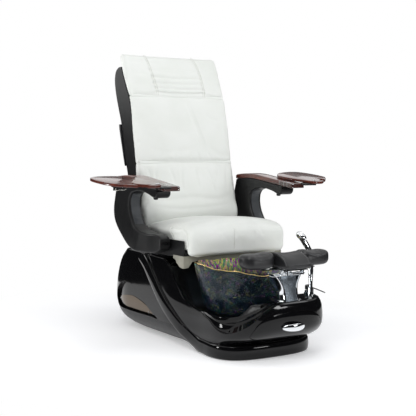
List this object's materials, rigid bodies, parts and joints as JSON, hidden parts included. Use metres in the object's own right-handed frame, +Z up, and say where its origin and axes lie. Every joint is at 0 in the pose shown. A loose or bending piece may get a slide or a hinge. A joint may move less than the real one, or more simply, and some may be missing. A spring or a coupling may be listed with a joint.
{
  "type": "pedicure spa chair",
  "caption": "Reclining massage seat with padded C-shaped arms and swing trays, sliding on a moulded tub base with a foot bowl, padded footrest, mixer and hand shower.",
  "frame": {"origin": "on the floor, in the plane of symmetry, 450 mm behind the bowl's centre", "axes": "+Z up, -Y towards the sitter's feet, +X to the side with the mixer and the hand shower"},
  "size_m": [1.3616, 1.4834, 1.505],
  "materials": {
    "gloss_black": "gloss",
    "satin_black": "satin",
    "skirt_black": "satin",
    "bronze_mirror": "polished, bronze tinted",
    "screw_steel": "bright",
    "chassis_steel": "powder coated",
    "bowl_glass": "iridescent, hammered",
    "chrome_trim": "polished",
    "dark_chrome": "polished, dark",
    "drain_plastic": "gloss",
    "motor_plastic": "satin",
    "rotor_steel": "machined",
    "impeller_plastic": "gloss",
    "black_leather": "smooth",
    "white_leather": "smooth",
    "copper_pipe": "drawn copper",
    "rail_steel": "zinc plated",
    "frame_steel": "powder coated",
    "grey_cloth": "woven",
    "mahogany": "high gloss lacquer",
    "mahogany_dark": "high gloss lacquer",
    "roller_rubber": "matte"
  },
  "bodies": {
    "base": {"base_pod": "gloss_black", "front_body": "gloss_black", "deck_panel": "gloss_black", "sweep_rim": "gloss_black", "rear_skirt": "skirt_black", "well_liner": "skirt_black", "side_mirror_left": "bronze_mirror", "side_mirror_right": "bronze_mirror", "panel_screws": "screw_steel", "chassis": "chassis_steel", "bowl": "bowl_glass", "drain_flange": "chrome_trim", "drain_pipe": "drain_plastic", "jet_housing": "motor_plastic", "jet_cap": "chrome_trim", "jet_motor": "motor_plastic", "footrest_column": "chrome_trim", "mixer_body": "chrome_trim", "shower_holder": "chrome_trim", "water_pipes": "copper_pipe", "seat_rails": "rail_steel"},
    "stopper": {"drain_stopper": "chrome_trim"},
    "impeller": {"jet_impeller": "impeller_plastic"},
    "rotor": {"motor_rotor": "rotor_steel"},
    "hatch": {"hatch_panel": "gloss_black", "hatch_handle": "chrome_trim"},
    "footrest": {"footrest_slider": "chrome_trim", "foot_pad_left": "black_leather", "foot_pad_right": "black_leather", "saddle_pad": "black_leather"},
    "release_bar": {"release_rod": "chrome_trim"},
    "mixer_turret": {"mixer_stem": "chrome_trim"},
    "mixer_handle": {"mixer_lever": "dark_chrome"},
    "shower": {"hand_shower": "chrome_trim"},
    "seat": {"seat_frame": "frame_steel", "seat_pan": "satin_black", "seat_cushion": "white_leather", "apron": "grey_cloth", "hinge_pins": "screw_steel", "recline_tube": "frame_steel"},
    "back": {"back_frame": "frame_steel", "back_shell": "satin_black", "head_pad": "white_leather", "back_pad_middle": "white_leather", "back_pad_lower": "white_leather", "back_flap": "satin_black", "massage_rails": "screw_steel"},
    "actuator_rod": {"recline_rod": "screw_steel"},
    "carriage": {"massage_carriage": "motor_plastic"},
    "rollers": {"massage_rollers": "roller_rubber"},
    "arm_left": {"arm_shell_left": "satin_black", "arm_cap_left": "mahogany", "tray_hinge_left": "mahogany_dark"},
    "arm_right": {"arm_shell_right": "satin_black", "arm_cap_right": "mahogany", "tray_hinge_right": "mahogany_dark"},
    "swing_tray_left": {"tray_left": "mahogany", "tray_bracket_left": "satin_black"},
    "swing_tray_right": {"tray_right": "mahogany", "tray_bracket_right": "satin_black"}
  },
  "joints": [
    {"name": "stopper_lift", "type": "slide", "parent": "base", "child": "stopper", "axis": [0, 0, 1], "range_m": [-0.029, 0]},
    {"name": "impeller_spin", "type": "hinge", "parent": "base", "child": "impeller", "pos_m": [-0.042, -0.49, 0.18], "axis": [0, 0, 1], "continuous": true},
    {"name": "rotor_spin", "type": "hinge", "parent": "base", "child": "rotor", "pos_m": [-0.042, -0.49, 0.15], "axis": [0, 0, 1], "continuous": true},
    {"name": "hatch_pull", "type": "slide", "parent": "base", "child": "hatch", "axis": [0, -1, 0], "range_m": [0, 0.12]},
    {"name": "footrest_height", "type": "slide", "parent": "base", "child": "footrest", "axis": [0, 0.2515, 0.9679], "range_m": [0, 0.05]},
    {"name": "release_bar_turn", "type": "hinge", "parent": "footrest", "child": "release_bar", "pos_m": [0, -0.862, 0.418], "axis": [-1, 0, 0], "range_deg": [0, 12], "stiffness_Nm_per_rad": 0.8},
    {"name": "mixer_swivel", "type": "hinge", "parent": "base", "child": "mixer_turret", "pos_m": [0.212, -0.7, 0.295], "axis": [0, 0, 1], "range_deg": [-45, 45]},
    {"name": "mixer_lever_lift", "type": "hinge", "parent": "mixer_turret", "child": "mixer_handle", "pos_m": [0.212, -0.7, 0.314], "axis": [-0.527, -0.8499, 0], "range_deg": [0, 16]},
    {"name": "shower_pull", "type": "slide", "parent": "base", "child": "shower", "axis": [0.1235, 0.1685, 0.9779], "range_m": [0, 0.15]},
    {"name": "seat_slide", "type": "slide", "parent": "base", "child": "seat", "axis": [0, 1, 0], "range_m": [-0.02, 0.095]},
    {"name": "back_recline", "type": "hinge", "parent": "seat", "child": "back", "pos_m": [0, 0.135, 0.508], "axis": [-1, 0, 0], "range_deg": [0, 30]},
    {"name": "actuator_stroke", "type": "slide", "parent": "seat", "child": "actuator_rod", "axis": [0, -1, 0], "range_m": [-0.001, 0.031]},
    {"name": "massage_travel", "type": "slide", "parent": "back", "child": "carriage", "axis": [0, 0.1822, 0.9833], "range_m": [-0.18, 0.18]},
    {"name": "roller_spin", "type": "hinge", "parent": "carriage", "child": "rollers", "pos_m": [0, 0.20733, 1.00364], "axis": [1, 0, 0], "continuous": true},
    {"name": "arm_lift_left", "type": "hinge", "parent": "seat", "child": "arm_left", "pos_m": [-0.32, 0.03, 0.565], "axis": [-1, 0, 0], "range_deg": [0, 60]},
    {"name": "arm_lift_right", "type": "hinge", "parent": "seat", "child": "arm_right", "pos_m": [0.32, 0.03, 0.565], "axis": [-1, 0, 0], "range_deg": [0, 60]},
    {"name": "tray_swing_left", "type": "hinge", "parent": "arm_left", "child": "swing_tray_left", "pos_m": [-0.465, -0.414, 0.8055], "axis": [0, -0.1288, 0.9917], "range_deg": [-45, 0]},
    {"name": "tray_swing_right", "type": "hinge", "parent": "arm_right", "child": "swing_tray_right", "pos_m": [0.465, -0.414, 0.8055], "axis": [0, -0.1288, 0.9917], "range_deg": [-25, 20]}
  ],
  "couplings": [
    {"joint": "impeller_spin", "follows": "rotor_spin", "ratio": 1},
    {"joint": "actuator_stroke", "follows": "back_recline", "m_per_rad": 0.0554}
  ]
}
